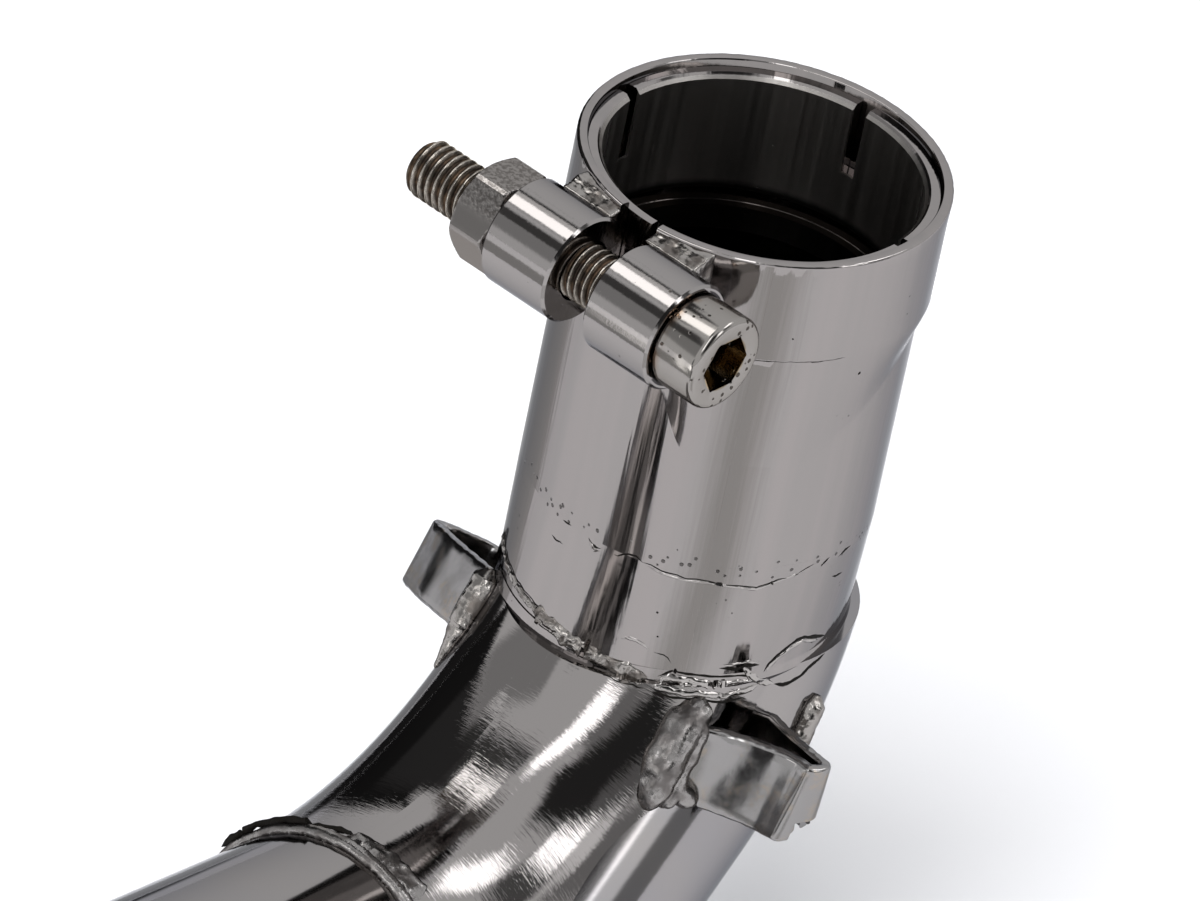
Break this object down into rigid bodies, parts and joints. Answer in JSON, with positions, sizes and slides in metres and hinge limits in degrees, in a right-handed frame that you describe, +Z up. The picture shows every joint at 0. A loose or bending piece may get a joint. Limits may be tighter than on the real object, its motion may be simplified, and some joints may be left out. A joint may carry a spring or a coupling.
{
  "type": "motorcycle exhaust link pipe",
  "caption": "Two-into-one exhaust link pipe: slotted clamp socket over a welded Y of two bent branch pipes with folded strap hooks.",
  "frame": {"origin": "centre of the socket's mouth, in the plane of the clamp band's outer rim", "axes": "+Z up out of the socket along its axis, -Y towards the clamp's split, +X along the clamp screw towards its head"},
  "size_m": [0.0679, 0.1411, 0.1568],
  "materials": {
    "socket_steel": "polished stainless steel, mirror like with faint lengthwise grain",
    "band_steel": "polished stainless steel",
    "lug_steel": "turned and polished stainless steel",
    "lug_weld": "grey weld, as laid",
    "screw_steel": "stainless screw, rust tinted in its recesses",
    "ground_weld": "weld ground back and polished, with pits left",
    "bend_steel": "mirror polished stainless steel with fine diagonal polishing marks",
    "pipe_steel": "polished stainless steel",
    "bead_weld": "granular weld, as laid and lightly polished",
    "strap_steel": "polished strap with a dull grain"
  },
  "bodies": {
    "root": {"socket_tube": "socket_steel", "clamp_band": "band_steel", "lug_nut_side": "lug_steel", "lug_head_side": "lug_steel", "lug_weld_nut_side": "lug_weld", "lug_weld_head_side": "lug_weld", "clamp_screw": "screw_steel", "clamp_nut": "screw_steel", "socket_seam_weld": "ground_weld", "oval_section": "socket_steel", "left_bend": "bend_steel", "left_pipe": "pipe_steel", "left_seam_weld": "bead_weld", "right_pipe": "pipe_steel", "junction_weld": "ground_weld", "front_hook": "strap_steel", "front_hook_weld": "bead_weld", "front_hook_rear_weld": "bead_weld", "left_hook": "strap_steel", "left_hook_weld": "bead_weld", "left_hook_rear_weld": "bead_weld"}
  },
  "joints": []
}
